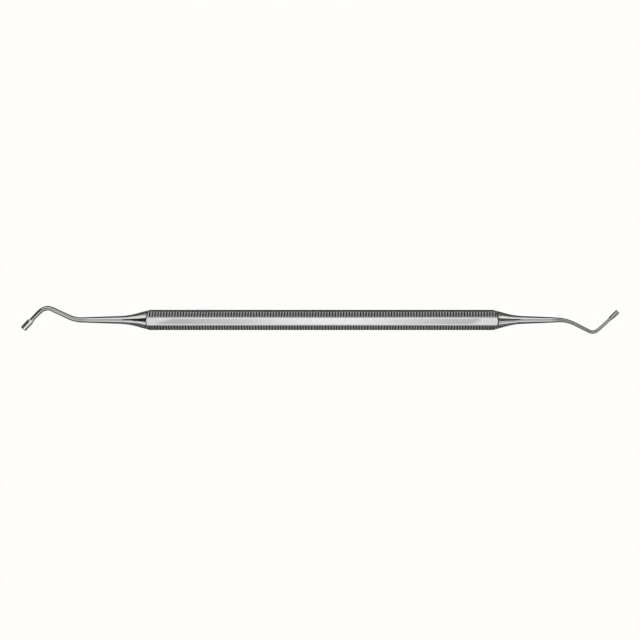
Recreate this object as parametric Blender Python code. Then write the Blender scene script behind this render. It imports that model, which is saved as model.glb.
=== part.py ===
"""Double-ended dental filling instrument, ground from one octagonal bar of stainless steel.

The handle lies along X on one of its smooth flats, and both working ends bend in the level plane
through its axis. The broad head is at -X and the fine head at +X. Each end is laid out as the +X
one, and the -X one is then turned half round Z. All sizes are in metres, and angles in degrees.
"""
import math
from dataclasses import dataclass

import bmesh
import bpy
import numpy as np

# Handle: an octagonal bar that keeps its whole section between the two turned necks
ACROSS_FLATS = 0.0055
HANDLE_LENGTH = 0.097

# Cross grooves on every second flat of the handle, with a plain land between two grooves
GROOVE_WIDTH = 0.0005
GROOVE_DEPTH = 0.0001
LAND_WIDTH = 0.0003
GROOVE_SLANT = 3.7

# Turned necks: a cone that cuts into the bar's corners first, and an arc that runs out into the taper
NECK_CONE_ANGLE = 17.0
NECK_ARC_RADIUS = 0.024
NECK_FOOT_RADIUS = 0.00112

# Near the bar the neck's section keeps a share of the octagon's flats, which fades over a length
NECK_FLAT_SHARE = 0.55
NECK_FLAT_LENGTH = 0.006

# Broad end, in order from the bar to the flat face of its head. The neck runs to the first bend. Its
# taper ends at a shoulder a little before the bend, and from there it thins faster to the shank
BROAD_NECK = 0.0195
BROAD_TAPER = 2.0
BROAD_SHOULDER = 0.0019
BROAD_THINNING = 0.003
BROAD_FIRST_BEND = 25.5
BROAD_FIRST_BEND_RADIUS = 0.0085
BROAD_MIDDLE = 0.0052
BROAD_SECOND_BEND = 67.9
BROAD_SECOND_BEND_RADIUS = 0.003
BROAD_LOWER = 0.0011
BROAD_CANT = 3.8
BROAD_ROOT = 0.0018
BROAD_SHANK_RADIUS = 0.0007
BROAD_ROOT_RADIUS = 0.00061
BROAD_FLARE = 0.001
BROAD_FLARE_SKEW = 0.6
BROAD_HEAD = 0.0028
BROAD_HEAD_RADIUS = 0.0009

# Fine end, in the same order
FINE_NECK = 0.0185
FINE_TAPER = 2.35
FINE_SHOULDER = 0.0019
FINE_THINNING = 0.0043
FINE_FIRST_BEND = 27.0
FINE_FIRST_BEND_RADIUS = 0.011
FINE_MIDDLE = 0.0045
FINE_SECOND_BEND = 67.1
FINE_SECOND_BEND_RADIUS = 0.0022
FINE_LOWER = 0.001
FINE_CANT = 4.4
FINE_ROOT = 0.0026
FINE_SHANK_RADIUS = 0.00055
FINE_ROOT_RADIUS = 0.00044
FINE_FLARE = 0.0016
FINE_FLARE_SKEW = 0.0
FINE_HEAD = 0.002
FINE_HEAD_RADIUS = 0.00065

# What both heads share: the slight bend behind the head, and the rounded rim of its flat face
CANT_RADIUS = 0.008
RIM_RADIUS = 0.0002

# How finely the round stretches are divided
SIDES_PER_FLAT = 4
NECK_STEPS = 8
BEND_STEP = 7.5
FLARE_STEPS = 5
RIM_STEPS = 3
PROFILE_POINTS = 2000
SHARP_EDGE = 15.0

# Satin stainless steel
STEEL_COLOUR = (0.56, 0.57, 0.58, 1.0)
STEEL_ROUGHNESS = 0.22

# What follows from the sizes above
FLATS = 8
FLAT_ANGLE = 2 * math.pi / FLATS
APOTHEM = ACROSS_FLATS / 2
CORNER_RADIUS = APOTHEM / math.cos(FLAT_ANGLE / 2)
FLAT_WIDTH = 2 * APOTHEM * math.tan(FLAT_ANGLE / 2)
RING_ANGLES = FLAT_ANGLE / 2 + np.arange(FLATS * SIDES_PER_FLAT) * FLAT_ANGLE / SIDES_PER_FLAT


@dataclass
class WorkingEnd:
    """Sizes of one working end, and the side of the handle (1 or -1) that it stands on."""

    side: int
    neck: float
    taper: float
    shoulder: float
    thinning: float
    first_bend: float
    first_bend_radius: float
    middle: float
    second_bend: float
    second_bend_radius: float
    lower: float
    cant: float
    root: float
    shank_radius: float
    root_radius: float
    flare: float
    flare_skew: float
    head: float
    head_radius: float


class TurnedNeck:
    """Profile that the lathe leaves: a cone, an arc and a slow taper.

    Distances run from where the cone first touches the bar's corners.
    """

    def __init__(self, taper):
        self.taper = math.radians(taper)
        fall = (CORNER_RADIUS - NECK_FOOT_RADIUS) / NECK_ARC_RADIUS
        self.slope = min(math.radians(NECK_CONE_ANGLE), math.acos(math.cos(self.taper) - fall))
        rise = NECK_ARC_RADIUS * (math.cos(self.taper) - math.cos(self.slope))
        run = NECK_ARC_RADIUS * (math.sin(self.slope) - math.sin(self.taper))
        self.arc_top = NECK_FOOT_RADIUS + rise
        self.cone = (CORNER_RADIUS - self.arc_top) / math.tan(self.slope)
        self.foot = self.cone + run

    def radius(self, distance):
        """Radius at a distance. On the arc, the sine of the slope falls by distance over arc radius."""
        in_cone = CORNER_RADIUS - distance * math.tan(self.slope)
        into_arc = np.clip(distance - self.cone, 0.0, self.foot - self.cone)
        sine = math.sin(self.slope) - into_arc / NECK_ARC_RADIUS
        in_arc = self.arc_top - NECK_ARC_RADIUS * (np.sqrt(1 - sine ** 2) - math.cos(self.slope))
        in_taper = NECK_FOOT_RADIUS - (distance - self.foot) * math.tan(self.taper)
        return np.where(distance < self.cone, in_cone, np.where(distance < self.foot, in_arc, in_taper))

    def section(self, distance, angle):
        """Radius at a distance and an angle: the profile, less what is left of the bar's flats."""
        fade = 1 - smooth_step(distance / NECK_FLAT_LENGTH)
        hollow = 1 - bar_radius(angle) / CORNER_RADIUS
        return self.radius(distance) * (1 - NECK_FLAT_SHARE * fade * hollow)

    def edge(self, angle):
        """Distance at which the neck has come down to the bar at an angle, read off a fine profile."""
        distances = np.linspace(0.0, self.foot, PROFILE_POINTS)
        return np.interp(-bar_radius(angle), -self.section(distances, angle), distances)


class Walker:
    """Walks along a centreline in the level plane, and keeps a station at each stop."""

    def __init__(self, start, already_gone):
        self.place = np.array([start, 0.0])
        self.heading = 0.0
        self.gone = already_gone
        self.stations = []

    def ahead(self, distance, turn=0.0):
        """The place at a distance straight ahead, or off the heading by a turn."""
        direction = self.heading + turn
        return self.place + distance * np.array([math.cos(direction), math.sin(direction)])

    def stop(self):
        self.stations.append((self.gone, self.place, self.heading))

    def straight(self, length):
        self.place = self.ahead(length)
        self.gone += length
        self.stop()

    def bend(self, radius, degrees):
        """Follows an arc by its chords, to the left or, where the angle is negative, to the right."""
        steps = max(2, math.ceil(abs(degrees) / BEND_STEP))
        turn = math.radians(degrees) / steps
        chord = 2 * radius * math.sin(abs(turn) / 2)
        for _ in range(steps):
            self.place = self.ahead(chord, turn / 2)
            self.heading += turn
            self.gone += radius * abs(turn)
            self.stop()


def clear_scene():
    """Removes what the opened file holds, so that the script can be run again."""
    for thing in list(bpy.data.objects):
        bpy.data.objects.remove(thing, do_unlink=True)


def smooth_step(share):
    """An S-shaped rise from 0 to 1 as a share goes from 0 to 1."""
    share = np.clip(share, 0.0, 1.0)
    return share ** 2 * (3 - 2 * share)


def bar_radius(angles):
    """Distance from the axis to the plain octagon: the apothem over the cosine off the flat's middle."""
    off_middle = (angles + FLAT_ANGLE / 2) % FLAT_ANGLE - FLAT_ANGLE / 2
    return APOTHEM / np.cos(off_middle)


def groove_lean():
    """How far along X a slanted groove moves between the middle of its flat and either edge."""
    return math.tan(math.radians(GROOVE_SLANT)) * FLAT_WIDTH / 2


def bar_ring(x, depth):
    """The bar's eight corners at x, where its grooved flats are sunk by depth.

    Flats are numbered from +Y towards +Z. The even ones are smooth and the odd ones grooved, so each
    corner joins one of each. The bottom of a groove runs out on the smooth flat's own plane, nearer
    its middle than the corner by depth / sin 45. The grooves lean on the +Y side only.
    """
    corner = np.arange(FLATS)
    starts_groove = corner % 2 == 0
    smooth_flat = np.where(starts_groove, corner, corner + 1) * FLAT_ANGLE
    reach = FLAT_WIDTH / 2 - depth / math.sin(FLAT_ANGLE)
    along = np.where(starts_groove, reach, -reach)
    y = APOTHEM * np.cos(smooth_flat) - along * np.sin(smooth_flat)
    z = APOTHEM * np.sin(smooth_flat) + along * np.cos(smooth_flat)
    lean = np.where(y > 0, np.sign(y - np.abs(z)) * groove_lean(), 0.0)
    return np.stack([x + lean, y, z], axis=1)


def groove_rings():
    """Rings of the grooved bar in order along +X: both edges and the bottom of each groove."""
    pitch = GROOVE_WIDTH + LAND_WIDTH
    room = HANDLE_LENGTH - 2 * groove_lean() - LAND_WIDTH
    count = int(room / pitch)
    first = -(count - 1) * pitch / 2
    rings = []
    for number in range(count):
        middle = first + number * pitch
        rings.append(bar_ring(middle - GROOVE_WIDTH / 2, 0.0))
        rings.append(bar_ring(middle, GROOVE_DEPTH))
        rings.append(bar_ring(middle + GROOVE_WIDTH / 2, 0.0))
    return rings


def neck_rings(end, neck):
    """Rings from the edge where the neck meets the flats to the neck's foot.

    A point of the first ring lies where the neck has come down to the bar's own radius at its
    angle, so each flat ends in a shallow arc. The arcs straighten out over the next rings.
    """
    edge = np.array([neck.edge(angle) for angle in RING_ANGLES])
    rings = []
    for part in np.linspace(0.0, 1.0, NECK_STEPS + 1):
        distance = edge + (neck.foot - edge) * part
        radius = neck.section(distance, RING_ANGLES) if part > 0 else bar_radius(RING_ANGLES)
        x = end.side * (HANDLE_LENGTH / 2 + distance)
        rings.append(np.stack([x, radius * np.cos(RING_ANGLES), radius * np.sin(RING_ANGLES)], axis=1))
    return rings


def walk_shank(end, neck):
    """Walks the centreline from the neck's foot to where the head's flare begins."""
    walker = Walker(HANDLE_LENGTH / 2 + neck.foot, neck.foot)
    walker.straight(end.neck - end.shoulder - neck.foot)
    walker.straight(end.shoulder)
    walker.bend(end.first_bend_radius, -end.first_bend)
    walker.straight(end.middle)
    walker.bend(end.second_bend_radius, end.second_bend)
    walker.straight(end.lower)
    walker.bend(CANT_RADIUS, end.cant)
    walker.straight(end.root)
    return walker


def round_ring(end, place, heading, radius, skew=0.0):
    """A circle square to the centreline, or leaning: a skew moves its +Y side forward by that much."""
    ahead = np.array([math.cos(heading), math.sin(heading)])
    beside = np.array([-math.sin(heading), math.cos(heading)])
    centre = end.side * (place + np.outer(skew * np.cos(RING_ANGLES), ahead))
    across = centre + np.outer(radius * np.cos(RING_ANGLES), beside)
    return np.column_stack([across, radius * np.sin(RING_ANGLES)])


def shank_rings(end, neck, walker):
    """Rings of the shank: from the neck's shoulder it thins fast to the shank, and then evenly on."""
    shoulder = end.neck - end.shoulder
    marks = [shoulder, shoulder + end.thinning, walker.gone]
    radii = [float(neck.radius(shoulder)), end.shank_radius, end.root_radius]
    rings = []
    for gone, place, heading in walker.stations[:-1]:
        rings.append(round_ring(end, place, heading, np.interp(gone, marks, radii)))
    return rings


def head_rings(end, walker):
    """Rings of the head: a flare in a smooth S, a straight stretch and a rounded rim.

    The skew starts the flare earlier on one side and later on the other.
    """
    rings = []
    for part in np.linspace(0.0, 1.0, FLARE_STEPS + 1):
        radius = end.root_radius + (end.head_radius - end.root_radius) * smooth_step(part)
        skew = end.flare * (1 - part) * end.flare_skew
        rings.append(round_ring(end, walker.ahead(end.flare * part), walker.heading, radius, skew))
    rim = min(RIM_RADIUS, end.head_radius / 2, end.head / 2)
    for angle in np.linspace(0.0, math.pi / 2, RIM_STEPS + 1):
        distance = end.flare + end.head - rim * (1 - math.sin(angle))
        radius = end.head_radius - rim * (1 - math.cos(angle))
        rings.append(round_ring(end, walker.ahead(distance), walker.heading, radius))
    return rings


def end_rings(end):
    """All rings of a working end, from the bar's last corners to the flat face of the head."""
    neck = TurnedNeck(end.taper)
    walker = walk_shank(end, neck)
    return neck_rings(end, neck) + shank_rings(end, neck, walker) + head_rings(end, walker)


def bridge(mesh, first, second):
    """Four-sided faces between two rings of as many points, where the second lies further along +X."""
    count = len(first)
    for i in range(count):
        j = (i + 1) % count
        mesh.faces.new((first[i], first[j], second[j], second[i]))


def end_flats(mesh, edge, towards):
    """Closes each flat between the bar's last corners and the arc that the neck cuts into it."""
    count = len(edge)
    for start in range(0, count, SIDES_PER_FLAT):
        arc = [edge[(start + step) % count] for step in range(SIDES_PER_FLAT + 1)]
        mesh.faces.new(arc[::-1] if towards > 0 else arc)


def build_mesh(broad, fine):
    """One closed surface from tip to tip, along +X."""
    mesh = bmesh.new()
    left = [[mesh.verts.new(point) for point in ring] for ring in end_rings(broad)]
    right = [[mesh.verts.new(point) for point in ring] for ring in end_rings(fine)]
    bar = [[mesh.verts.new(point) for point in ring] for ring in groove_rings()]
    bar.insert(0, left[0][::SIDES_PER_FLAT])
    bar.append(right[0][::SIDES_PER_FLAT])
    for rings in (left[::-1], bar, right):
        for first, second in zip(rings, rings[1:]):
            bridge(mesh, first, second)
    end_flats(mesh, left[0], broad.side)
    end_flats(mesh, right[0], fine.side)
    mesh.faces.new(left[-1][::-1])
    mesh.faces.new(right[-1])
    stand_on_floor(mesh)
    return mesh


def stand_on_floor(mesh):
    """Moves the origin to the middle of the underside of the box that the instrument fills."""
    points = np.array([vertex.co for vertex in mesh.verts])
    low = points.min(axis=0)
    high = points.max(axis=0)
    middle = (low + high) / 2
    bmesh.ops.translate(mesh, verts=mesh.verts, vec=(-middle[0], -middle[1], -low[2]))


def steel():
    """Polished to a satin gloss, as surgical stainless steel is."""
    material = bpy.data.materials.new("satin_stainless_steel")
    material.use_nodes = True
    shader = material.node_tree.nodes["Principled BSDF"]
    shader.inputs["Base Color"].default_value = STEEL_COLOUR
    shader.inputs["Metallic"].default_value = 1.0
    shader.inputs["Roughness"].default_value = STEEL_ROUGHNESS
    return material


def build():
    """Makes the one object: the whole instrument."""
    broad = WorkingEnd(
        side=-1,
        neck=BROAD_NECK,
        taper=BROAD_TAPER,
        shoulder=BROAD_SHOULDER,
        thinning=BROAD_THINNING,
        first_bend=BROAD_FIRST_BEND,
        first_bend_radius=BROAD_FIRST_BEND_RADIUS,
        middle=BROAD_MIDDLE,
        second_bend=BROAD_SECOND_BEND,
        second_bend_radius=BROAD_SECOND_BEND_RADIUS,
        lower=BROAD_LOWER,
        cant=BROAD_CANT,
        root=BROAD_ROOT,
        shank_radius=BROAD_SHANK_RADIUS,
        root_radius=BROAD_ROOT_RADIUS,
        flare=BROAD_FLARE,
        flare_skew=BROAD_FLARE_SKEW,
        head=BROAD_HEAD,
        head_radius=BROAD_HEAD_RADIUS,
    )
    fine = WorkingEnd(
        side=1,
        neck=FINE_NECK,
        taper=FINE_TAPER,
        shoulder=FINE_SHOULDER,
        thinning=FINE_THINNING,
        first_bend=FINE_FIRST_BEND,
        first_bend_radius=FINE_FIRST_BEND_RADIUS,
        middle=FINE_MIDDLE,
        second_bend=FINE_SECOND_BEND,
        second_bend_radius=FINE_SECOND_BEND_RADIUS,
        lower=FINE_LOWER,
        cant=FINE_CANT,
        root=FINE_ROOT,
        shank_radius=FINE_SHANK_RADIUS,
        root_radius=FINE_ROOT_RADIUS,
        flare=FINE_FLARE,
        flare_skew=FINE_FLARE_SKEW,
        head=FINE_HEAD,
        head_radius=FINE_HEAD_RADIUS,
    )
    clear_scene()
    mesh = build_mesh(broad, fine)
    data = bpy.data.meshes.new("filling_instrument")
    mesh.to_mesh(data)
    mesh.free()
    data.shade_smooth()
    data.set_sharp_from_angle(angle=math.radians(SHARP_EDGE))
    data.materials.append(steel())
    instrument = bpy.data.objects.new("filling_instrument", data)
    bpy.context.scene.collection.objects.link(instrument)


build()
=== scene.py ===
# %% [markdown]
# # A dental filling instrument in polished and satin steel
# The instrument is one piece of stainless steel: an octagonal bar that is milled with fine cross
# grooves on every second flat, turned down to a round neck at each end, bent twice and finished with
# a small flat head. The imported model gives its place and size. This script gives it its surface:
# grooves at their real pitch, softened corners, necks that flow out of the flats, the different
# finishes that the grinding wheel, the milling cutter and the polishing mop leave, and painted light
# and shade in the grooves, at the handle's ends, on the corners and along the necks, shanks and heads.

# %% Load the frame
import math

import bpy
import numpy as np
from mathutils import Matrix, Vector


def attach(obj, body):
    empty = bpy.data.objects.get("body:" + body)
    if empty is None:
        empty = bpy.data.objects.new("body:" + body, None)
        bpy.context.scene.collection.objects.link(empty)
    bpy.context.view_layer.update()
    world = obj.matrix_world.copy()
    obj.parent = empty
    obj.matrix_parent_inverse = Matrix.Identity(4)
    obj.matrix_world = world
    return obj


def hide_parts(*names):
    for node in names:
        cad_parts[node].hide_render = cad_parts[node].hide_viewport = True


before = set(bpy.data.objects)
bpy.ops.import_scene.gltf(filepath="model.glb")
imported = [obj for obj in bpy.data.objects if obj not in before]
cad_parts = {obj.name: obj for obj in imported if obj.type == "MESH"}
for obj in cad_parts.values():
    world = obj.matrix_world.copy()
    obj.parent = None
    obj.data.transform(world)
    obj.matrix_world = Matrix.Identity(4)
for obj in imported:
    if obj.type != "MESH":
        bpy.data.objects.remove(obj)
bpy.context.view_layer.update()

# %% [markdown]
# ## Where the handle lies
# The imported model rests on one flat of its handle, so the lowest vertices outline that flat. Their
# middle is the handle's middle, and half the model's height is the axis. Everything below is worked
# out in millimetres from that point, because a dental instrument is easier to think of that way.

# %% Read the handle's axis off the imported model
MM_PER_METRE = 1000.0
FLAT_TOLERANCE = 0.001

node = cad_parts["filling_instrument"]
corners = np.empty(len(node.data.vertices) * 3, np.float32)
node.data.vertices.foreach_get("co", corners)
corners = corners.reshape(-1, 3) * MM_PER_METRE
underside = corners[corners[:, 2] < corners[:, 2].min() + FLAT_TOLERANCE]
middle = (underside.min(axis=0) + underside.max(axis=0)) / 2
AXIS = np.array([middle[0], middle[1], corners[:, 2].max() / 2])
print("middle of the handle's axis, in mm:", AXIS.round(3))

# %% [markdown]
# ## The octagonal bar
# The bar's outline is eight flats and eight corners. Flats are numbered from +Y towards +Z: the even
# ones are smooth, and the odd ones carry the grooves. A ground bar has no knife edges, so each corner
# is an arc, and the corners beside the upper and the lower flat are the roundest. Each flat has four
# more points between its two ends, which keep its shading flat and let a groove run out before it
# reaches the corner.

# %% Points round the bar
ACROSS_FLATS = 5.5
CORNER_ROUND = np.array([0.6, 0.9, 0.9, 0.3, 0.3, 0.9, 0.9, 0.6])
CORNER_STEPS = 3
FLATS = 8
FLAT_ANGLE = 2 * np.pi / FLATS
FLAT_WIDTH = ACROSS_FLATS * np.tan(FLAT_ANGLE / 2)
FLAT_FRACTIONS = np.array([0.0, 0.1, 0.3, 0.7, 0.9, 1.0])
FLAT_FACES = len(FLAT_FRACTIONS) - 1
POINTS_PER_FLAT = FLAT_FACES + CORNER_STEPS


def turned(angle):
    """Unit vectors at angles from +Y towards +Z, as (y, z) pairs."""
    return np.stack([np.cos(angle), np.sin(angle)], axis=-1)


def bar_points(sinks):
    """Points round the bar's section, where each of its eight flats is sunk by its own depth.

    Two flats meet where both their planes hold: for unit normals n and m whose cosine is c, and
    planes at distances a and b, that is ((a - c b) n + (b - c a) m) / (1 - c squared). The corner's
    arc has its centre on the bisector, one radius from both planes.
    """
    flat = np.arange(FLATS)
    normal = turned(flat * FLAT_ANGLE)
    along = turned(flat * FLAT_ANGLE + np.pi / 2)
    plane = ACROSS_FLATS / 2 - sinks
    next_normal = np.roll(normal, -1, axis=0)
    next_plane = np.roll(plane, -1)
    cosine = math.cos(FLAT_ANGLE)
    corner = (plane - cosine * next_plane)[:, None] * normal
    corner = corner + (next_plane - cosine * plane)[:, None] * next_normal
    corner = corner / (1 - cosine ** 2)
    tangent = CORNER_ROUND * math.tan(FLAT_ANGLE / 2)
    start = np.roll(corner, 1, axis=0) + np.roll(tangent, 1)[:, None] * along
    end = corner - tangent[:, None] * along
    on_flat = start[:, None] + FLAT_FRACTIONS[None, :, None] * (end - start)[:, None]
    bisector = turned((flat + 0.5) * FLAT_ANGLE)
    centre = corner - bisector * CORNER_ROUND[:, None] / math.cos(FLAT_ANGLE / 2)
    steps = np.arange(1, CORNER_STEPS) / CORNER_STEPS
    angle = (flat[:, None] + steps[None, :]) * FLAT_ANGLE
    on_corner = centre[:, None] + CORNER_ROUND[:, None, None] * turned(angle)
    return np.concatenate([on_flat, on_corner], axis=1).reshape(-1, 2)


# %% [markdown]
# The section is worked out twice: once plain, and once with every grooved flat sunk by one
# millimetre. The difference says how each point moves for each millimetre that a groove is deep.

# %% The plain section and the way it sinks
GROOVED = np.arange(FLATS) % 2
SECTION = bar_points(np.zeros(FLATS))
SINKING = bar_points(GROOVED) - SECTION
AROUND = len(SECTION)
BAR_RADIUS = np.hypot(SECTION[:, 0], SECTION[:, 1])
BAR_ANGLE = np.unwrap(np.arctan2(SECTION[:, 1], SECTION[:, 0]))
print("points round the bar:", AROUND, " flat width, in mm:", round(FLAT_WIDTH, 3))

# %% [markdown]
# ## The grooves
# The two rows of grooves were cut in separate passes. They differ a little in pitch, and the ones on
# the +Y side lean by a few degrees. A grid that runs straight across the bar would cut such grooves
# at odd places and leave ragged edges. So the grid is combed: each ring of points follows the
# grooves on the grooved flats, and crosses over from one row to the other on the smooth flats.

# %% Groove rows and combing
GROOVE_DEPTH = 0.14
LAND_SHARE = 0.34
LEANING_PITCH = 0.7944
LEANING_START = -0.508
STRAIGHT_PITCH = 0.7923
STRAIGHT_START = -0.05
GROOVE_LEAN = math.radians(3.7)
GROOVE_ROUND = 0.08
CROSSING_WIDTH = 2.0

on_leaning_side = SECTION[:, 0] > 0
towards_edge = (SECTION[:, 0] - np.abs(SECTION[:, 1])) / (math.sqrt(2) * FLAT_WIDTH / 2)
lean = np.clip(towards_edge, -1, 1) * math.tan(GROOVE_LEAN) * FLAT_WIDTH / 2
LEAN = np.where(on_leaning_side, lean, 0.0)
LEANING_SHARE = np.clip(0.5 + SECTION[:, 0] / CROSSING_WIDTH, 0.0, 1.0)
print("the grooves of the +Y side shift across a flat by, in mm:", round(float(np.ptp(LEAN)), 3))


def combed(turn):
    """Places along the bar where the points of a ring lie, after so many grooves from the middle."""
    leaning = LEANING_START + LEANING_PITCH * turn[:, None] + LEAN
    straight = STRAIGHT_START + STRAIGHT_PITCH * turn[:, None]
    return leaning * LEANING_SHARE + straight * (1 - LEANING_SHARE)


def groove_share(x):
    """Share of the full depth at places x along the bar: a V with a round bottom between lands.

    The share is one less the distance from the groove's middle, measured in half widths. The
    square root of that distance squared plus a small round squared makes the bottom round, and
    the result is stretched so that it runs from 0 on the lands to 1 at the bottom.
    """
    leaning = (x - LEANING_START - LEAN) / LEANING_PITCH
    straight = (x - STRAIGHT_START) / STRAIGHT_PITCH
    turn = np.where(on_leaning_side, leaning, straight) % 1.0
    off_middle = np.abs(turn - 0.5) / (0.5 - LAND_SHARE / 2)
    rounded = np.hypot(np.minimum(off_middle, 1.0), GROOVE_ROUND)
    sharpest = np.hypot(1.0, GROOVE_ROUND)
    return (sharpest - rounded) / (sharpest - GROOVE_ROUND)


# %% [markdown]
# ## Where the grooves run out
# The lists below go from point to point over a smooth flat and its corner, and then over a grooved
# flat and its corner. A groove keeps its full depth over the middle of its flat and has run out at
# the flat's edge. The painted shade of the grooves goes further: it lies over the whole flat and fades
# on the corner. There the painted shade of grooves and lands is evened out into one grey. The
# first and third grooved flat fade a little differently from the second and fourth.

# %% Depth and painted shade across the flats
SMOOTH_FLAT = [0.0] * POINTS_PER_FLAT
RUN_OUT = np.array((SMOOTH_FLAT + [0.0, 0.7, 1.0, 1.0, 0.7, 0.0, 0.0, 0.0]) * (FLATS // 2))
# Painted shade: how it is evened out on the corners and how far it spreads over each grooved flat.
EVENED_SHADE_SHARE = np.array((SMOOTH_FLAT + [0.0, 0.0, 0.0, 0.0, 0.2, 0.8, 1.0, 1.0]) * (FLATS // 2))
GROOVE_SHADE_FIRST = SMOOTH_FLAT + [1.0, 1.0, 1.0, 1.0, 1.0, 1.0, 0.6, 0.0]
GROOVE_SHADE_SECOND = SMOOTH_FLAT + [0.6, 1.0, 1.0, 1.0, 1.0, 1.0, 1.0, 0.5]
GROOVE_SHADE_SPREAD = np.array((GROOVE_SHADE_FIRST + GROOVE_SHADE_SECOND) * (FLATS // 4))
EVENED_SHADE_LEVEL = 0.33


def groove_sink(x):
    """Depth of the groove at places x along the bar, less where it runs out at the corners."""
    return GROOVE_DEPTH * groove_share(x) * RUN_OUT


def painted_shade_of_grooves(x):
    """Painted shade at places x: 0 as on a land, 1 as at the bottom of a groove."""
    tone = groove_share(x) * (1 - EVENED_SHADE_SHARE) + EVENED_SHADE_LEVEL * EVENED_SHADE_SHARE
    return tone * GROOVE_SHADE_SPREAD


one_pitch = groove_sink(combed(np.linspace(0.0, 1.0, 50))).max(axis=1)
print("groove depth at the bottom and its mean over a pitch, in mm:", GROOVE_DEPTH,
      round(float(one_pitch.mean()), 3))

# %% [markdown]
# ## The turned necks
# A lathe cuts a cone into the bar's corners first, and then sweeps out along an arc into a slow
# taper. The neck keeps a memory of the bar: near the flats its section is a little squarer than a
# circle, and deeper than it is wide. Where it comes down to the bar's own outline, the flats end.

# %% Neck profile
HANDLE_LENGTH = 97.0
OUTER_RADIUS = ACROSS_FLATS / 2 / math.cos(FLAT_ANGLE / 2)
CONE_ANGLE = math.radians(17.0)
ARC_RADIUS = 24.0
FOOT_RADIUS = 1.12


def neck_radius(distance, taper):
    """Turned radius at a distance from the handle's last full section: cone, arc and taper.

    On the arc, the sine of the slope falls by distance over arc radius, and the radius falls by
    the arc radius times the change of the cosine.
    """
    rise = ARC_RADIUS * (math.cos(taper) - math.cos(CONE_ANGLE))
    run = ARC_RADIUS * (math.sin(CONE_ANGLE) - math.sin(taper))
    cone = (OUTER_RADIUS - FOOT_RADIUS - rise) / math.tan(CONE_ANGLE)
    on_cone = np.minimum(distance, cone) * math.tan(CONE_ANGLE)
    sine = math.sin(CONE_ANGLE) - np.clip(distance - cone, 0.0, run) / ARC_RADIUS
    on_arc = ARC_RADIUS * (np.sqrt(1 - sine ** 2) - math.cos(CONE_ANGLE))
    on_taper = np.maximum(distance - cone - run, 0.0) * math.tan(taper)
    return OUTER_RADIUS - on_cone - on_arc - on_taper


def smooth_step(share):
    """An S-shaped rise from 0 to 1 as the share goes from 0 to 1."""
    share = np.clip(share, 0.0, 1.0)
    return share ** 2 * (3 - 2 * share)


def flatness(angle):
    """The plain octagon's distance from the axis over its distance at the corners."""
    off_middle = (angle + FLAT_ANGLE / 2) % FLAT_ANGLE - FLAT_ANGLE / 2
    return math.cos(FLAT_ANGLE / 2) / np.cos(off_middle)


print("radius over the bar's corners, in mm:", round(OUTER_RADIUS, 3))

# %% [markdown]
# ## The working ends and the centreline
# A bent shank is easiest to describe by its heading. The heading is level along the handle and
# changes evenly through each bend, so it is a line through a few marks, and its running sum is the
# path. Measured outwards from the handle's middle, both ends bend to their right and then back.
#
# In the two lists of sizes, a bend is its angle, its radius and the straight run after it. The late
# start is how far the cone holds back between the flats. The painted highlight reaches so far along
# the handle's flats from their end, and slants across them. The last list says how much painted light
# brightens the steel before and after the first bend's start, and before and after the head's flare.

# %% Sizes of the two ends, from the handle to the tip
BROAD = {
    "side": -1,
    "neck": 19.5,
    "taper": math.radians(2.0),
    "shoulder": 1.9,
    "thinning": 3.0,
    "bends": [(25.5, 8.5, 5.2), (-67.9, 3.0, 1.1), (-3.8, 8.0, 1.8)],
    "radii": [0.7, 0.639, 0.583],
    "flare": 1.0,
    "flare_skew": 0.6,
    "head": 2.8,
    "head_radius": 0.9,
    "depth_share": 0.064,
    "late_start": 0.3,
    # The last three entries are painted: how far a painted highlight reaches along the flats, how it slants,
    # and the painted light along the end.
    "painted_highlight": 2.4,
    "highlight_slant": 2.9,
    "painted_light": [0.57, 0.26, 0.26, 1.0],
}
FINE = {
    "side": 1,
    "neck": 18.5,
    "taper": math.radians(2.35),
    "shoulder": 1.9,
    "thinning": 4.3,
    "bends": [(27.0, 11.0, 4.5), (-67.1, 2.2, 1.0), (-4.4, 8.0, 2.6)],
    "radii": [0.55, 0.47, 0.432],
    "flare": 1.6,
    "flare_skew": 0.0,
    "head": 2.0,
    "head_radius": 0.65,
    "depth_share": 0.14,
    "late_start": 0.15,
    # The last three entries are painted: how far a painted highlight reaches along the flats, how it slants,
    # and the painted light along the end.
    "painted_highlight": 3.0,
    "highlight_slant": 1.3,
    "painted_light": [0.57, 0.12, 0.0, 0.0],
}


def end_marks(end):
    """Distances from the handle's end at which the heading changes its trend, and the headings."""
    distances = [end["neck"]]
    headings = [0.0]
    for degrees, radius, run in end["bends"]:
        distances.append(distances[-1] + radius * math.radians(abs(degrees)))
        headings.append(headings[-1] - degrees)
        distances.append(distances[-1] + run)
        headings.append(headings[-1])
    return np.array(distances), np.radians(headings)


# %% Walk the centreline
STEP = 0.01
WALK_MARGIN = 1.0
broad_marks, broad_headings = end_marks(BROAD)
fine_marks, fine_headings = end_marks(FINE)
marks = np.concatenate([-broad_marks[::-1] - HANDLE_LENGTH / 2, fine_marks + HANDLE_LENGTH / 2])
headings = np.concatenate([broad_headings[::-1], fine_headings])
broad_tip = marks[0] - BROAD["flare"] - BROAD["head"]
fine_tip = marks[-1] + FINE["flare"] + FINE["head"]
walk = np.arange(broad_tip - WALK_MARGIN, fine_tip + WALK_MARGIN, STEP)
walk_heading = np.interp(walk, marks, headings)
walk_x = np.cumsum(np.cos(walk_heading)) * STEP
walk_y = np.cumsum(np.sin(walk_heading)) * STEP
walk_x = walk_x - np.interp(0.0, walk, walk_x)
walk_y = walk_y - np.interp(0.0, walk, walk_y)


def placed(gone, across, up):
    """Points by the centreline: so far along it, so far across to the left, and so far up."""
    heading = np.interp(gone, marks, headings)
    x = np.interp(gone, walk, walk_x) - across * np.sin(heading)
    y = np.interp(gone, walk, walk_y) + across * np.cos(heading)
    return np.stack([x, y, up], axis=-1) + AXIS


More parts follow.
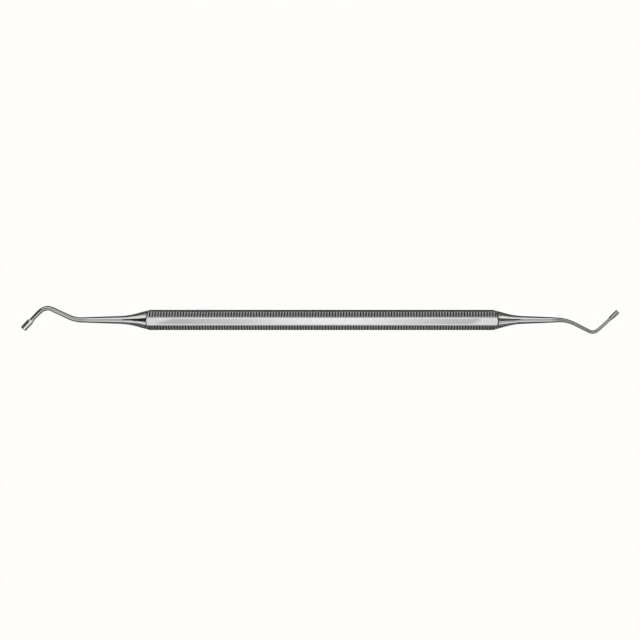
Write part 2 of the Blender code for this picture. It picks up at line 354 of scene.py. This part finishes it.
tips = placed(np.array([broad_tip, fine_tip]), 0.0, np.zeros(2))
print("middles of the two end faces, in mm:", tips.round(2).tolist())

# %% [markdown]
# ## The shanks and heads
# Each shank starts with a small shoulder and thins from bend to bend, and a running mean takes the
# corners out of that profile. The head flares out in an S, stays nearly straight, and ends in a flat
# face with a rounded rim. The broad head's flare is skewed: it starts early on one side of the shank
# and late on the other.

# %% Shank and head profile
SMOOTHING = 1.2
TABLE_STEP = 0.05
HEAD_TAPER = 0.02
RIM_ROUND = 0.18
SECOND_BEND_START, THIRD_BEND_END = 3, 6


def shank_table(end):
    """Distances and radii from the handle's end to the flare, smoothed by a running mean."""
    distances, _ = end_marks(end)
    table = np.arange(0.0, distances[-1], TABLE_STEP)
    shoulder = end["neck"] - end["shoulder"]
    thinned = shoulder + end["thinning"]
    stops = [shoulder, thinned, distances[SECOND_BEND_START], distances[THIRD_BEND_END]]
    radii = [neck_radius(shoulder, end["taper"])] + end["radii"]
    thinning = np.interp(table, stops, radii)
    radius = np.where(table < shoulder, neck_radius(table, end["taper"]), thinning)
    reach = int(SMOOTHING / TABLE_STEP)
    padded = np.pad(radius, reach, mode="reflect", reflect_type="odd")
    mean = np.convolve(padded, np.ones(2 * reach + 1) / (2 * reach + 1), mode="valid")
    blend = smooth_step((table - end["neck"] / 2) / SMOOTHING)
    return table, radius + (mean - radius) * blend


def end_radius(end, distance):
    """Radius at distances from the handle's end: neck, shank, flare, head and rim."""
    table, radii = shank_table(end)
    flare_start = end_marks(end)[0][-1]
    tip = flare_start + end["flare"] + end["head"]
    slim = np.interp(distance, table, radii)
    swell = smooth_step((distance - flare_start) / end["flare"])
    past_flare = np.clip((distance - flare_start - end["flare"]) / end["head"], 0.0, 1.0)
    radius = slim + (end["head_radius"] - HEAD_TAPER * past_flare - slim) * swell
    into_rim = np.clip(distance - (tip - RIM_ROUND), 0.0, RIM_ROUND)
    return radius - RIM_ROUND + np.sqrt(RIM_ROUND ** 2 - into_rim ** 2)


print("lengths of the shanks without neck and head, in mm:",
      round(float(broad_marks[-1] - broad_marks[0]), 2), round(float(fine_marks[-1] - fine_marks[0]), 2))

# %% [markdown]
# ## One grid from tip to tip
# The whole instrument is a single grid: rings along the centreline, points round each ring. Along
# the handle the rings are combed along the grooves. Near its ends they turn to follow the curve in
# which the flats run out, so that this edge is crisp, and then straighten out along the neck.

# %% Neck sections
FLAT_MEMORY = 0.55
MEMORY_LENGTH = 3.0
LATE_LENGTH = 10.0
EDGE_SEARCH = np.arange(-1.0, 4.0, TABLE_STEP / 10)


def neck_shape(end, distance, angle):
    """Radius of the neck: the turned profile, squarer near the flats and deeper than wide.

    The profile shrinks towards the middle of each flat by the flat memory, and grows towards top
    and bottom by the depth share. Both fade out along the neck. Between the flats the cone also
    starts a little late, and catches up along the neck.
    """
    fade = 1 - smooth_step(distance / MEMORY_LENGTH)
    squarer = 1 + FLAT_MEMORY * fade * (flatness(angle) - 1)
    deeper = 1 + end["depth_share"] * fade * np.sin(angle) ** 2
    on_flat = (1 - flatness(angle)) / (1 - math.cos(FLAT_ANGLE / 2))
    late = end["late_start"] * (1 - smooth_step(distance / LATE_LENGTH)) * (1 - fade * on_flat)
    return end_radius(end, np.maximum(distance - late, 0.0)) * squarer * deeper


def flats_end(end):
    """Distance at which the neck has come down to the bar's outline, for each point of a ring."""
    gap = neck_shape(end, EDGE_SEARCH[:, None], BAR_ANGLE[None, :]) - BAR_RADIUS[None, :]
    return EDGE_SEARCH[np.argmax(gap < 0, axis=0)]


# %% Rings of the handle
GROOVE_STEPS = 6
COMBED_GROOVES = 59
END_STEPS = 34

turns = np.arange(-COMBED_GROOVES, COMBED_GROOVES)
within = LAND_SHARE / 2 + (1 - LAND_SHARE) * np.arange(GROOVE_STEPS + 1) / GROOVE_STEPS
ring_turns = (turns[:, None] + within[None, :]).ravel()
handle_x = combed(ring_turns)
run_out = np.arange(1, END_STEPS + 1)[:, None] / END_STEPS
broad_edge = -HANDLE_LENGTH / 2 - flats_end(BROAD)
fine_edge = HANDLE_LENGTH / 2 + flats_end(FINE)
to_broad = handle_x[0] + (broad_edge - handle_x[0]) * run_out
to_fine = handle_x[-1] + (fine_edge - handle_x[-1]) * run_out
handle_x = np.concatenate([to_broad[::-1], handle_x, to_fine])
handle_section = SECTION + groove_sink(handle_x)[..., None] * SINKING
handle = placed(handle_x, handle_section[..., 0], handle_section[..., 1])
print("rings along the handle:", len(handle))

# %% [markdown]
# ## Rings of an end
# The first rings past the flats stand close together, because a groove may still bite into them and
# the lathe left a small step where it broke through the flats. The step is lowest at the corners,
# grows as the flats run out further, and fades along the cone. The head's skewed flare moves its
# rings forward on one side, and two small rings close the face. Beside the points, the grid keeps
# how much painted light brightens each of them; where it is low, the darker steel is painted shade.

# %% Rings of an end
NECK_STEPS = 28
NECK_LENGTH = 3.4
NECK_CROWDING = 1.3
SHANK_STEP = 0.2
RIM_STEPS = 5
FACE_RINGS = np.array([0.94, 0.5])
GROOVE_FADE = 0.6
STEP_HEIGHT = 0.08
STEP_GROWTH = 0.5
STEP_LENGTH = 0.15
STEP_FADE = 2.4
SKEW_LEAD = 2.0
PAINTED_LIGHT_LEAD = 2.0
EVEN_ANGLE = BAR_ANGLE[0] + np.arange(AROUND) * 2 * np.pi / AROUND


def end_grid(end):
    """Rings of one end, from just past the flats to the rim of its face, and then the face.

    The first rings lean with the curve in which the flats run out, and their points spread out
    evenly as the rings straighten. A groove that the neck's edge crosses still bites into it.
    """
    edge = flats_end(end)
    share = (np.arange(1, NECK_STEPS + 1)[:, None] / NECK_STEPS) ** NECK_CROWDING
    near = edge + (NECK_LENGTH - edge) * share
    past = near - edge
    bite = groove_sink(end["side"] * (HANDLE_LENGTH / 2 + near))
    bite = bite * (1 - smooth_step(past / GROOVE_FADE))
    grooved = SECTION + bite[..., None] * SINKING
    outline = np.hypot(grooved[..., 0], grooved[..., 1])
    spread = smooth_step(share)[..., None]
    direction = grooved / outline[..., None] * (1 - spread) + turned(EVEN_ANGLE) * spread
    near_angle = np.arctan2(direction[..., 1], direction[..., 0])
    step = STEP_HEIGHT * (1 - np.exp(-past / STEP_LENGTH)) * (1 - smooth_step(past / STEP_FADE))
    step = step * smooth_step(edge / STEP_GROWTH)
    near_radius = np.minimum(neck_shape(end, near, near_angle) - step, outline)

    flare_start = end_marks(end)[0][-1]
    tip = flare_start + end["flare"] + end["head"]
    straight_end = tip - RIM_ROUND
    count = int((straight_end - NECK_LENGTH) / SHANK_STEP)
    far = NECK_LENGTH + (straight_end - NECK_LENGTH) * np.arange(1, count + 1) / count
    rim = straight_end + RIM_ROUND * np.sin(np.linspace(0.0, np.pi / 2, RIM_STEPS + 1))[1:]
    far = np.concatenate([far, rim])[:, None] + np.zeros(AROUND)
    far_angle = EVEN_ANGLE + np.zeros_like(far)
    far_radius = neck_shape(end, far, far_angle)
    lag = end["flare_skew"] * end["flare"] * np.cos(far_angle)
    in_flare = 1 - smooth_step((far - flare_start) / end["flare"])
    coming = smooth_step((far - flare_start + SKEW_LEAD) / SKEW_LEAD)
    far = far + lag * in_flare * coming

    face_radius = far_radius[-1] * FACE_RINGS[:, None]
    distance = np.concatenate([near, far, np.full_like(face_radius, tip)])
    angle = np.concatenate([near_angle, far_angle, EVEN_ANGLE + np.zeros_like(face_radius)])
    radius = np.concatenate([near_radius, far_radius, face_radius])
    gone = end["side"] * (HANDLE_LENGTH / 2 + distance)
    # Painted light along the end: lighter on the neck and the broad head; the shank stays darker as painted
    # shade.
    painted_light_places = [end["neck"] - PAINTED_LIGHT_LEAD, end["neck"], flare_start, flare_start + end["flare"]]
    painted_light = np.interp(distance, painted_light_places, end["painted_light"])
    return placed(gone, radius * np.cos(angle), radius * np.sin(angle)), painted_light


broad_end, broad_painted_light = end_grid(BROAD)
fine_end, fine_painted_light = end_grid(FINE)
print("rings of the broad and the fine end:", len(broad_end), len(fine_end))

# %% [markdown]
# ## Into a mesh
# The grid goes into Blender as it stands: each cell becomes a four-sided face whose points run so
# that the normal points outwards, and one many-sided face closes each end. Faces remember which
# tool finished them: the grinding wheel on the smooth flats, the milling cutter on the grooved ones
# and two steps into the corner after them, the mop on both ends, and a burnisher on the corners.

# %% Faces and finishes
GROUND, MILLED, POLISHED, BURNISHED = range(4)
MILLED_CORNER_FACES = 2

grid = np.concatenate([broad_end[::-1], handle, fine_end])
rings = len(grid)
ring = np.arange(rings - 1)[:, None]
point = np.arange(AROUND)[None, :]
beside = (point + 1) % AROUND
cells = np.stack([
    ring * AROUND + point,
    ring * AROUND + beside,
    (ring + 1) * AROUND + beside,
    (ring + 1) * AROUND + point,
], axis=-1).reshape(-1, 4)
first_face = list(range(AROUND))[::-1]
last_face = list(range((rings - 1) * AROUND, rings * AROUND))

handle_rings = slice(len(broad_end), len(broad_end) + len(handle))
on_handle = (ring >= handle_rings.start) & (ring < handle_rings.stop - 1)
place_on_flat = point % POINTS_PER_FLAT
on_flat = place_on_flat < FLAT_FACES
on_grooves = (place_on_flat < FLAT_FACES + MILLED_CORNER_FACES) & (point // POINTS_PER_FLAT % 2 == 1)
bar_finish = np.where(on_grooves, MILLED, np.where(on_flat, GROUND, BURNISHED))
finish = np.where(on_handle, bar_finish, POLISHED).ravel()
finish = np.concatenate([finish, [POLISHED, POLISHED]]).astype(np.int32)
print("faces of each finish:", np.bincount(finish).tolist())

# %% [markdown]
# Three painted tones change from point to point: painted shade in the grooves, a painted highlight on
# the handle's flats near its ends, and painted light and shade along the necks, shanks and heads. The
# mesh carries each as an attribute, and the finishes read them.

# %% Painted light and shade of the surface
HIGHLIGHT_FADE = 3.0

# Painted shade: darker towards the bottom of each groove.
groove_shade_amount = np.zeros(grid.shape[:2])
groove_shade_amount[handle_rings] = painted_shade_of_grooves(handle_x)
# Painted highlight: lighter on the handle's flats near each end.
painted_highlight = np.zeros(grid.shape[:2])
for end in (BROAD, FINE):
    shifted = grid[..., 0] - AXIS[0] - end["highlight_slant"] * (grid[..., 1] - AXIS[1])
    from_end = HANDLE_LENGTH / 2 - end["side"] * shifted
    painted_highlight = np.maximum(painted_highlight, 1 - smooth_step((from_end - end["painted_highlight"]) / HIGHLIGHT_FADE))
# Painted light and shade along the necks, shanks and heads.
painted_light = np.concatenate([broad_painted_light[::-1], np.zeros((len(handle), AROUND)), fine_painted_light])
TONES = {"painted_groove_shade": groove_shade_amount, "painted_end_highlight": painted_highlight, "painted_light_and_shade": painted_light}
print("mean of each tone:", {name: round(float(tone.mean()), 3) for name, tone in TONES.items()})

# %% Build the instrument
SHARP_EDGE = math.radians(16.0)

mesh = bpy.data.meshes.new("instrument_surface")
mesh.from_pydata((grid.reshape(-1, 3) / MM_PER_METRE).tolist(), [], cells.tolist() + [first_face, last_face])
mesh.polygons.foreach_set("material_index", finish)
for name, tone in TONES.items():
    layer = mesh.attributes.new(name, "FLOAT", "POINT")
    layer.data.foreach_set("value", tone.astype(np.float32).ravel())
mesh.shade_smooth()
mesh.set_sharp_from_angle(angle=SHARP_EDGE)
instrument = bpy.data.objects.new("instrument_surface", mesh)
bpy.context.scene.collection.objects.link(instrument)
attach(instrument, "root")
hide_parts("filling_instrument")
print("faces:", len(mesh.polygons), " rings:", rings)

# %% [markdown]
# ## Finishes
# Everything is the same stainless steel. The finishes differ in how rough the tool left the
# surface and how coarse its marks are, and some of them carry painted light and shade:
# - Ground satin steel gives the smooth flats their even, soft sheen, and a painted highlight lightens their
#   ends.
# - Milled groove steel is rougher and mottled, and has painted shade that darkens towards the bottom of each
#   groove.
# - Polished steel gives the necks, shanks and heads their mirrored black and white lines, with
#   painted light on the necks and the broad head and painted shade along the shanks.
# - Burnished corner steel is a little smoother, and its lighter colour is a painted highlight that adds to
#   the fine bright line along each side of a smooth flat.

# %% Helpers for materials
UM_PER_METRE = 1e6
GRAIN_DETAIL = 3.0
GRAIN_LOW, GRAIN_HIGH = 0.3, 0.7


def to_linear(code):
    """Linear red, green, blue and alpha of an sRGB colour such as #C6C7C9."""
    values = np.array([int(code[i:i + 2], 16) for i in (1, 3, 5)]) / 255.0
    linear = np.where(values <= 0.04045, values / 12.92, ((values + 0.055) / 1.055) ** 2.4)
    return (*linear.tolist(), 1.0)


def add(tree, kind, links=None, **settings):
    """Adds one node, sets its properties, and gives each named input a value or a link."""
    made = tree.nodes.new(kind)
    for name, value in settings.items():
        setattr(made, name, value)
    for name, value in (links or {}).items():
        if isinstance(value, bpy.types.NodeSocket):
            tree.links.new(value, made.inputs[name])
        else:
            made.inputs[name].default_value = value
    return made


def steel(name, colour, roughness, spread, grain_mm, bump_um, tone=None, toned=None, full_tone=1.0):
    """Stainless steel whose roughness and height vary at the scale of the tool's marks.

    Where a tone is named, the colour changes with that attribute of the mesh, which paints light or
    shade into it, and has become the toned colour where the attribute reaches the full tone.
    """
    material = bpy.data.materials.new(name)
    material.use_nodes = True
    tree = material.node_tree
    shader = tree.nodes["Principled BSDF"]
    shader.inputs["Base Color"].default_value = to_linear(colour)
    shader.inputs["Metallic"].default_value = 1.0
    place = add(tree, "ShaderNodeTexCoord")
    grain = add(tree, "ShaderNodeTexNoise", {
        "Vector": place.outputs["Object"],
        "Scale": MM_PER_METRE / grain_mm,
        "Detail": GRAIN_DETAIL,
    })
    rough = add(tree, "ShaderNodeMapRange", {
        "Value": grain.outputs["Fac"],
        "From Min": GRAIN_LOW,
        "From Max": GRAIN_HIGH,
        "To Min": roughness - spread,
        "To Max": roughness + spread,
    })
    bump = add(tree, "ShaderNodeBump", {
        "Height": grain.outputs["Fac"],
        "Distance": bump_um / UM_PER_METRE,
        "Strength": 1.0,
    })
    tree.links.new(rough.outputs["Result"], shader.inputs["Roughness"])
    tree.links.new(bump.outputs["Normal"], shader.inputs["Normal"])
    if tone:
        amount = add(tree, "ShaderNodeAttribute", attribute_name=tone)
        share = add(tree, "ShaderNodeMapRange", {"Value": amount.outputs["Fac"], "From Max": full_tone})
        blend = add(tree, "ShaderNodeMix", {
            0: share.outputs["Result"],
            6: to_linear(colour),
            7: to_linear(toned),
        }, data_type="RGBA")
        tree.links.new(blend.outputs[2], shader.inputs["Base Color"])
    return material


# %% The four finishes, in the order of their numbers
FINISHES = [
    # The toned colour is a painted highlight on the flats' ends.
    steel("ground_satin_steel", "#C8C8C8", roughness=0.26, spread=0.03, grain_mm=0.35, bump_um=2.5,
          tone="painted_end_highlight", toned="#F0F0F0"),
    # The toned colour is painted shade at the bottoms of the grooves.
    steel("milled_steel_painted_groove_shade", "#C4C4C4", roughness=0.36, spread=0.05, grain_mm=0.3, bump_um=3.0,
          tone="painted_groove_shade", toned="#464646", full_tone=0.5),
    # The base colour is painted shade on the shanks, and the toned colour is painted light on the necks and
    # the broad head.
    steel("polished_steel", "#989898", roughness=0.11, spread=0.02, grain_mm=0.6, bump_um=0.6,
          tone="painted_light_and_shade", toned="#E4E4E4"),
    # The colour, a little lighter than the flats', is partly a painted highlight along the corners' bright
    # line.
    steel("burnished_corner_steel_painted_highlight", "#D0D0D0", roughness=0.2, spread=0.02, grain_mm=0.6, bump_um=0.6),
]
for made in FINISHES:
    mesh.materials.append(made)
print("finishes:", [made.name for made in FINISHES])

# %% [markdown]
# ## Camera
# The photograph looks almost straight down. It sees a little more of the far side of the handle than
# of the near side, which is a tilt of nine degrees, and its perspective is that of a long lens.

# %% Camera
VIEW_TILT = math.radians(9.0)
LENS = 100.0
SENSOR = 36.0
PIXELS = 640
PIXELS_PER_MM = 3.5235
AIM_BELOW_AXIS = 0.08

aim = np.array([0.0, AXIS[1] - AIM_BELOW_AXIS / PIXELS_PER_MM, AXIS[2]])
away = PIXELS / PIXELS_PER_MM * LENS / SENSOR
lens = bpy.data.cameras.new("camera")
lens.lens = LENS
lens.sensor_width = SENSOR
lens.clip_start = 0.01
lens.clip_end = 10.0
camera = bpy.data.objects.new("camera", lens)
toward_camera = np.array([0.0, math.sin(VIEW_TILT), math.cos(VIEW_TILT)])
camera.location = Vector((aim + toward_camera * away) / MM_PER_METRE)
camera.rotation_euler = (-VIEW_TILT, 0.0, 0.0)
bpy.context.scene.collection.objects.link(camera)
bpy.context.scene.camera = camera
print("camera distance, in mm:", round(away, 1))

# %% [markdown]
# ## Floor
# The instrument lies on white paper. Paper lit to exactly white needs more light than the steel can
# take, so the paper also glows by itself: nearly white where the camera, a reflection or glass looks
# at it, and less where it is only lit, which keeps a faint shadow under the instrument.

# %% White paper
FLOOR_HALF = 1.5
FLOOR_GAP = 0.00002
PAPER_GLOW = 0.985


def level_sheet(name, x_range, y_range, height, material):
    """A level rectangle that belongs to the studio and not to the instrument, facing up."""
    (west, east), (south, north) = x_range, y_range
    sheet_mesh = bpy.data.meshes.new(name)
    rim = [(west, south, height), (east, south, height), (east, north, height), (west, north, height)]
    sheet_mesh.from_pydata(rim, [], [(0, 1, 2, 3)])
    sheet_mesh.materials.append(material)
    sheet = bpy.data.objects.new(name, sheet_mesh)
    bpy.context.scene.collection.objects.link(sheet)
    return sheet


def paper():
    """Matt white paper: lit by the lamps, with a glow that only direct looks and reflections see."""
    material = bpy.data.materials.new("white_paper")
    material.use_nodes = True
    tree = material.node_tree
    shader = tree.nodes["Principled BSDF"]
    output = tree.nodes["Material Output"]
    shader.inputs["Base Color"].default_value = to_linear("#F2F1EF")
    shader.inputs["Roughness"].default_value = 0.9
    shader.inputs["Specular IOR Level"].default_value = 0.0
    ray = add(tree, "ShaderNodeLightPath")
    seen = add(tree, "ShaderNodeMath", {
        0: ray.outputs["Is Camera Ray"],
        1: ray.outputs["Is Glossy Ray"],
    }, operation="MAXIMUM")
    seen = add(tree, "ShaderNodeMath", {
        0: seen.outputs[0],
        1: ray.outputs["Is Transmission Ray"],
    }, operation="MAXIMUM")
    share = add(tree, "ShaderNodeMath", {0: seen.outputs[0], 1: PAPER_GLOW}, operation="MULTIPLY")
    glow = add(tree, "ShaderNodeEmission", {"Color": to_linear("#FFFEFC"), "Strength": 1.0})
    mix = add(tree, "ShaderNodeMixShader", {
        0: share.outputs[0],
        1: shader.outputs["BSDF"],
        2: glow.outputs["Emission"],
    })
    tree.links.new(mix.outputs[0], output.inputs["Surface"])
    return material


paper_reach = (-FLOOR_HALF, FLOOR_HALF)
white_paper = level_sheet("white_paper", paper_reach, paper_reach, -FLOOR_GAP, paper())
print("paper, in metres:", white_paper.dimensions[:])

# %% [markdown]
# ## Cards
# Polished steel on glowing white paper would melt into it, because its edges mirror the paper. So a
# photographer lays darker card beside it. Here the cards lie under the instrument, where the paper
# would be mirrored, and only reflections see them. A large dark one gives every edge its dark line,
# a light grey one lifts the near side of the handle, and a mid-grey one lies under each neck's start.

# %% Cards between the paper and the instrument
def card(name, colour, x_range, y_range, height):
    """A level card of one matt colour that only reflections see."""
    material = bpy.data.materials.new(name)
    material.use_nodes = True
    shader = material.node_tree.nodes["Principled BSDF"]
    shader.inputs["Base Color"].default_value = to_linear(colour)
    shader.inputs["Roughness"].default_value = 1.0
    shader.inputs["Specular IOR Level"].default_value = 0.0
    sheet = level_sheet(name, x_range, y_range, height, material)
    sheet.visible_camera = False
    sheet.visible_diffuse = False
    sheet.visible_shadow = False


card("dark_card", "#484848", (-0.3, 0.3), (-0.1, 0.1), -FLOOR_GAP / 2)
card("grey_card", "#C0C0C0", (-0.047, 0.048), (-0.1, 0.0), -FLOOR_GAP / 4)
card("broad_neck_card", "#787878", (-0.06, -0.0485), (-0.1, 0.1), -FLOOR_GAP / 5)
card("fine_neck_card", "#787878", (0.0495, 0.06), (-0.1, 0.1), -FLOOR_GAP / 5)

# %% [markdown]
# ## Light
# Long softboxes hang side by side over the instrument, like the panels of a light tent. The near
# ones stand on the viewer's side, the far ones beyond the instrument, and the top ones between them.
# Each covers a range of angles and a stretch of the handle's length, because steel shows the panels
# as bands. The bright ones light the middle of the handle and both necks, and the dim ones give the
# greyer stretches of the flats. A nearly dark panel to the right and the open gap to the left are the
# black wedges on the two necks. The room adds a little light near the horizon.

# %% Softboxes
SOFTBOX_DISTANCE = 260


def softbox(name, angles, reach, brightness, distance=SOFTBOX_DISTANCE):
    """A rectangular light that fills a range of angles from straight up towards -Y, seen from the axis.

    It reaches from one place along X to another, both in millimetres from the handle's middle. A
    flat light's power is its brightness times pi times its area.
    """
    turn = math.radians(sum(angles) / 2)
    width = 2 * distance * math.tan(math.radians(angles[1] - angles[0]) / 2)
    length = reach[1] - reach[0]
    light = bpy.data.lights.new(name, "AREA")
    light.shape = "RECTANGLE"
    light.size = length / MM_PER_METRE
    light.size_y = width / MM_PER_METRE
    light.energy = brightness * math.pi * light.size * light.size_y
    lamp = bpy.data.objects.new(name, light)
    spot = AXIS + np.array([sum(reach) / 2, -math.sin(turn) * distance, math.cos(turn) * distance])
    lamp.location = Vector(spot / MM_PER_METRE)
    lamp.rotation_euler = (turn, 0.0, 0.0)
    bpy.context.scene.collection.objects.link(lamp)
    lamp.visible_camera = False


softbox("near_low_softbox", (25, 53), (-300, 140), 1.15)
softbox("near_right_softbox", (25, 42), (140, 350), 0.7)
softbox("near_foot_softbox", (42, 65), (140, 350), 0.95)
softbox("near_middle_softbox", (14, 25), (-300, 165), 0.9)
softbox("near_high_softbox", (-3, 14), (-205, 165), 0.55)
softbox("near_edge_softbox", (10, 25), (165, 350), 0.75)
softbox("top_softbox", (-36, -3), (-86, 86), 0.8)
softbox("top_left_softbox", (-36, -3), (-128, -86), 0.53)
softbox("top_right_softbox", (-36, -3), (86, 128), 0.54)
softbox("slit_softbox", (-30, 8), (165, 350), 0.09)
softbox("corner_softbox", (-20, 4), (-80, 80), 0.66, distance=240)
softbox("far_left_softbox", (-57, -36), (-285, -56), 1.25)
softbox("far_middle_softbox", (-57, -36), (-56, 56), 0.42)
softbox("far_right_softbox", (-57, -36), (56, 350), 1.25)
softbox("far_low_softbox", (-79, -57), (-330, 350), 1.0)
softbox("far_foot_softbox", (-86, -79), (-330, -160), 1.0)
softbox("key_light", (1, 17), (-22, 30), 1.1, distance=200)

# %% Room
world = bpy.data.worlds.new("room")
bpy.context.scene.world = world
world.use_nodes = True
tree = world.node_tree
background = tree.nodes["Background"]
direction = add(tree, "ShaderNodeTexCoord")
axes = add(tree, "ShaderNodeSeparateXYZ", {0: direction.outputs["Generated"]})
height = add(tree, "ShaderNodeMapRange", {
    "Value": axes.outputs["Z"],
    "From Min": 0.45,
    "From Max": 0.75,
    "To Min": 0.12,
    "To Max": 0.02,
})
background.inputs["Color"].default_value = to_linear("#FFFFFF")
tree.links.new(height.outputs["Result"], background.inputs["Strength"])

bpy.context.scene.view_settings.view_transform = "Standard"
print("view transform:", bpy.context.scene.view_settings.view_transform)
